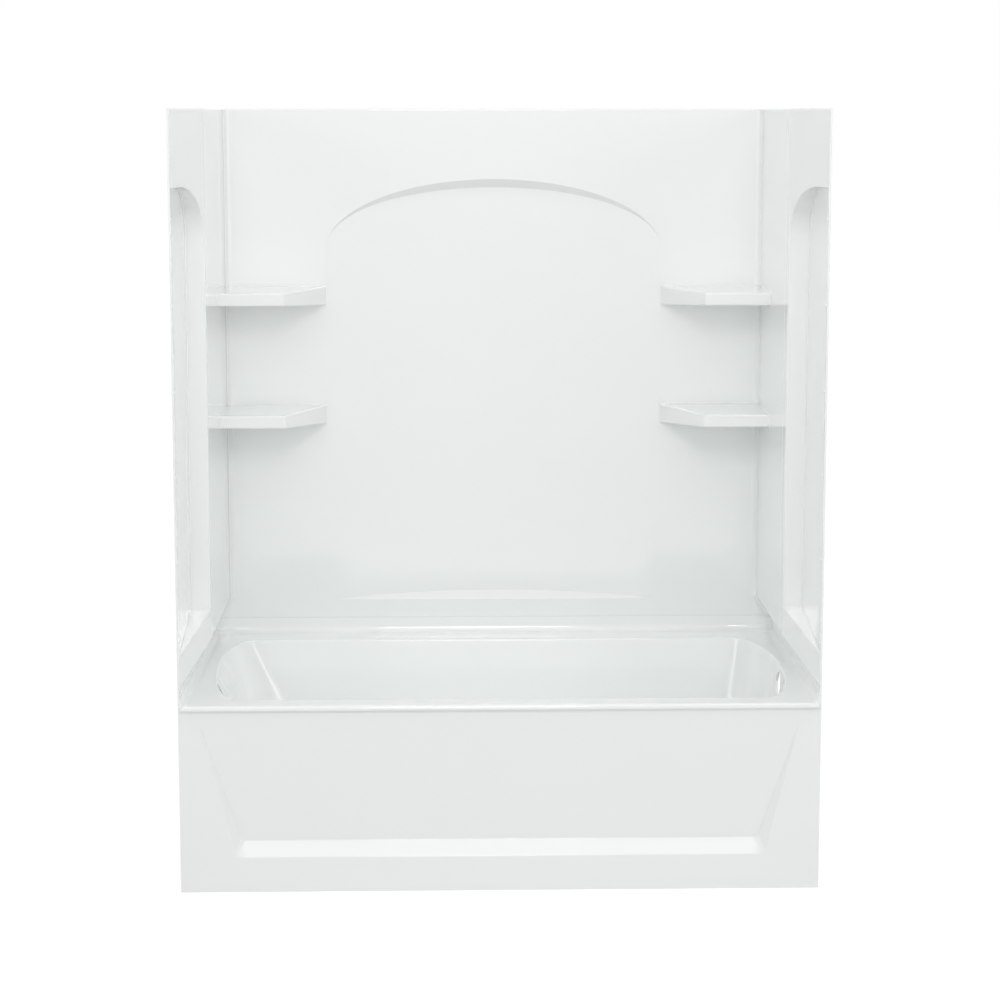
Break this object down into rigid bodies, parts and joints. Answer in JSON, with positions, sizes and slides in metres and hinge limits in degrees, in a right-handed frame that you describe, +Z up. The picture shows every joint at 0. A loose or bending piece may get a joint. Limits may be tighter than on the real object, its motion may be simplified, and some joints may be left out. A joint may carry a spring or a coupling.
{
  "type": "alcove bath and shower unit",
  "caption": "Alcove bath with a sunk-panel apron and three moulded walls with an arched recess, corner shelves and open waste and overflow holes.",
  "frame": {"origin": "middle of the unit's footprint, on the floor", "axes": "+X along the bath towards the waste and overflow end, +Y from the apron to the back wall, +Z up"},
  "size_m": [1.524, 0.813, 1.854],
  "materials": {
    "white_moulding": "gloss white, moulded",
    "joint_strip": "matt foam strip",
    "plated_steel": "zinc plated",
    "plywood": "bare plywood",
    "timber": "sawn softwood"
  },
  "bodies": {
    "root": {"tub_shell": "white_moulding", "back_wall": "white_moulding", "left_end_wall": "white_moulding", "right_end_wall": "white_moulding", "left_joint_gasket": "joint_strip", "right_joint_gasket": "joint_strip", "back_base_gasket": "joint_strip", "left_base_gasket": "joint_strip", "right_base_gasket": "joint_strip", "left_joint_bolts": "plated_steel", "right_joint_bolts": "plated_steel", "base_bolts": "plated_steel", "left_joint_washers": "plated_steel", "right_joint_washers": "plated_steel", "base_washers": "plated_steel", "left_joint_nuts": "plated_steel", "right_joint_nuts": "plated_steel", "base_nuts": "plated_steel", "lower_left_wall_board": "plywood", "lower_right_wall_board": "plywood", "upper_left_wall_board": "plywood", "upper_right_wall_board": "plywood", "base_board": "plywood", "left_runner": "timber", "middle_runner": "timber", "right_runner": "timber", "runner_screws": "plated_steel", "front_rim_board": "plywood", "back_rim_board": "plywood", "left_apron_brace": "plywood", "middle_apron_brace": "plywood", "right_apron_brace": "plywood"}
  },
  "joints": []
}
